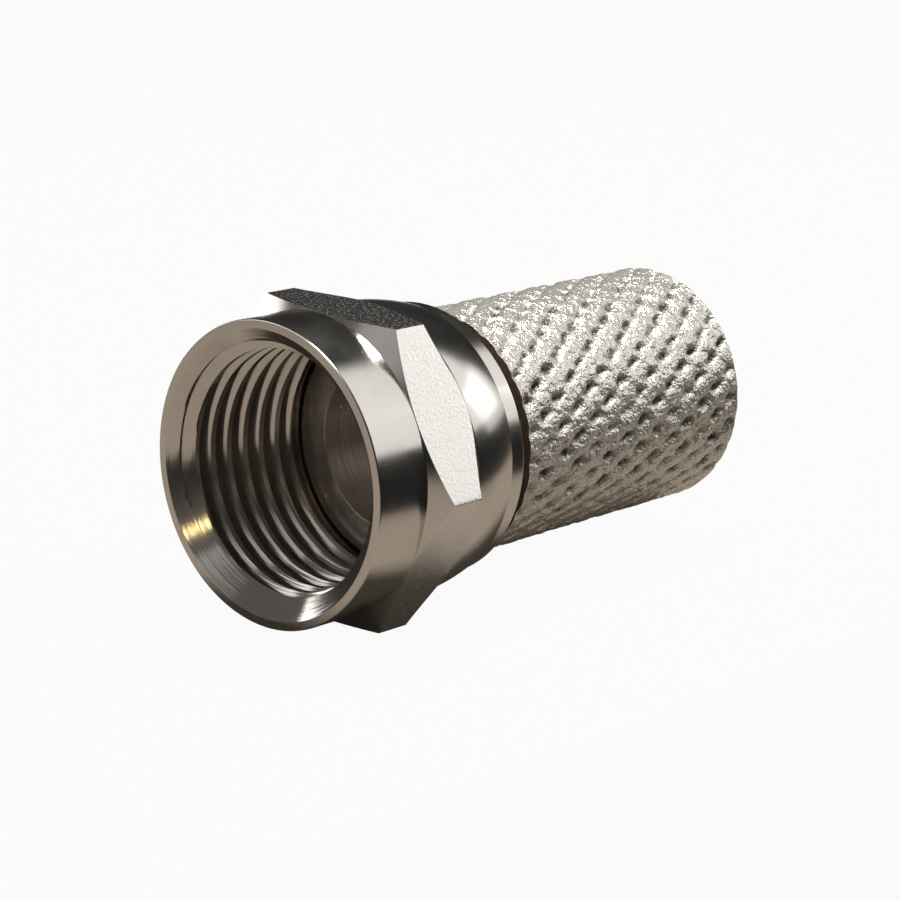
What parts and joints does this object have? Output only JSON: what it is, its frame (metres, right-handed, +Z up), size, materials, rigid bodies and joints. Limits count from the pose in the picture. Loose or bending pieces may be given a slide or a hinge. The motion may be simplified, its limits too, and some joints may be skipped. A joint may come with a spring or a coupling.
{
  "type": "twist-on f connector",
  "caption": "Twist-on coaxial plug with a knurled tubular body and a free-turning hexagon coupling nut that screws onto an antenna or cable socket.",
  "frame": {"origin": "on the connector's axis, in the seating face of the body's flange, where the mating socket's front face stops", "axes": "+Y along the axis from the mouth of the nut to the cable end, +Z up, with one flat of the hexagon facing straight down"},
  "size_m": [0.0128, 0.0211, 0.011],
  "materials": {
    "nickel_nut": "nickel plate, polished on its turned surfaces and satin on its flats",
    "nickel_body": "nickel plate with a fine grain over the knurling"
  },
  "bodies": {
    "body": {"knurled_body": "nickel_body"},
    "nut": {"coupling_nut": "nickel_nut"}
  },
  "joints": [
    {"name": "nut_spin", "type": "hinge", "parent": "body", "child": "nut", "pos_m": [0, 0.0014, 0], "axis": [0, 1, 0], "continuous": true}
  ]
}
